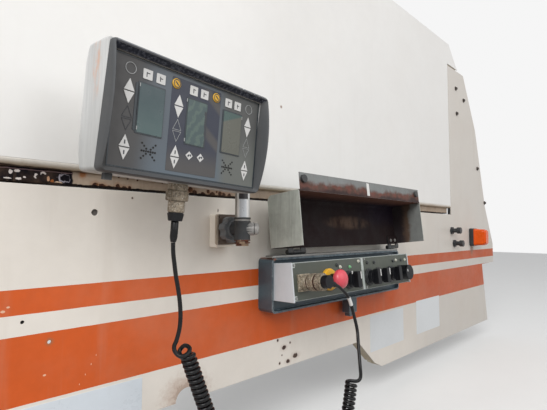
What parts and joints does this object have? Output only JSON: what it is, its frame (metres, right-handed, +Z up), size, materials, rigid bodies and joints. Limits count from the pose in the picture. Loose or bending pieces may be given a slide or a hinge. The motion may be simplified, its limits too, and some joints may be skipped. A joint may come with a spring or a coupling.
{
  "type": "side control station panel",
  "caption": "Body side panel of a road milling machine with a swivelling operator terminal on a clamp, a control box under a hinged lid, a curly cord and a marker lamp.",
  "frame": {"origin": "centre of the four-hole bolt pattern on the back of the mount plates", "axes": "+Z up, +X along the sheets towards the marker lamp, -Y out of the painted face towards the operator"},
  "size_m": [1.97, 0.2519, 1.1967],
  "materials": {
    "cream_paint": "gloss paint, dusty",
    "edge_paint": "cream paint, worn at the edges",
    "frame_paint": "satin dark grey paint",
    "recess_paint": "matt grey paint, dirty",
    "black_paint": "satin black",
    "slate_paint": "satin dark blue-green grey",
    "lid_paint": "grey-green outside, rust-stained inside",
    "chrome": "polished, slightly stained",
    "zinc": "bright zinc plate",
    "rusty": "rusted",
    "lens": "ribbed translucent lens",
    "black_plastic": "grained",
    "yellow_plastic": "gloss",
    "red_plastic": "gloss",
    "olive_face": "satin dark olive-grey",
    "silver_cast": "silver-grey paint on cast aluminium",
    "bezel_grey": "grained dark grey",
    "face_film": "satin membrane film",
    "window": "grey-green display window",
    "key_print": "printed keys",
    "cord_black": "satin sheath",
    "tan_metal": "dull cast, dusty",
    "buffer": "matt",
    "white_lens": "clear"
  },
  "bodies": {
    "panel": {"body_sheet": "cream_paint", "sheet_flanges": "edge_paint", "upper_cover": "cream_paint", "cover_edges": "edge_paint", "recess_channel": "recess_paint", "frame_rails": "frame_paint", "frame_posts": "frame_paint", "mount_plates": "frame_paint", "lamp_base": "black_plastic", "lamp_lens": "lens", "cable_glands": "zinc", "clamp_block": "edge_paint", "clamp_flange": "black_paint", "clamp_wheel": "black_plastic", "clamp_barrel": "zinc", "clamp_nut": "rusty", "swivel_tube": "chrome", "tray": "slate_paint", "latch_tab": "slate_paint", "hinge_rail": "zinc", "hinge_knuckles": "black_paint", "control_box": "slate_paint", "box_end_caps": "silver_cast", "face_left": "olive_face", "face_right": "olive_face", "stop_collar": "yellow_plastic", "stop_button": "red_plastic", "selector_rings": "black_plastic", "selector_knobs": "black_plastic", "indicator_lamps": "white_lens", "box_socket": "tan_metal", "box_plug": "black_plastic", "cord_tail_box": "cord_black", "cord_coil": "cord_black", "cord_tail_term": "cord_black"},
    "terminal": {"term_housing": "silver_cast", "term_visor": "bezel_grey", "term_cheeks": "bezel_grey", "term_sill": "bezel_grey", "term_face": "face_film", "term_windows": "window", "term_keys": "key_print", "term_bracket": "black_paint", "term_socket": "zinc", "term_plug": "black_plastic", "term_boot": "cord_black"},
    "lid": {"lid_shell": "lid_paint", "lid_buffers": "buffer", "lid_hinges": "black_paint"}
  },
  "joints": [
    {"name": "terminal_swivel", "type": "hinge", "parent": "panel", "child": "terminal", "pos_m": [-0.524, -0.135, 0.11], "axis": [0, 0, 1], "range_deg": [-10, 60]},
    {"name": "lid_hinge", "type": "hinge", "parent": "panel", "child": "lid", "pos_m": [-0.1665, -0.101, -0.045], "axis": [1, 0, 0], "range_deg": [0, 88]}
  ]
}
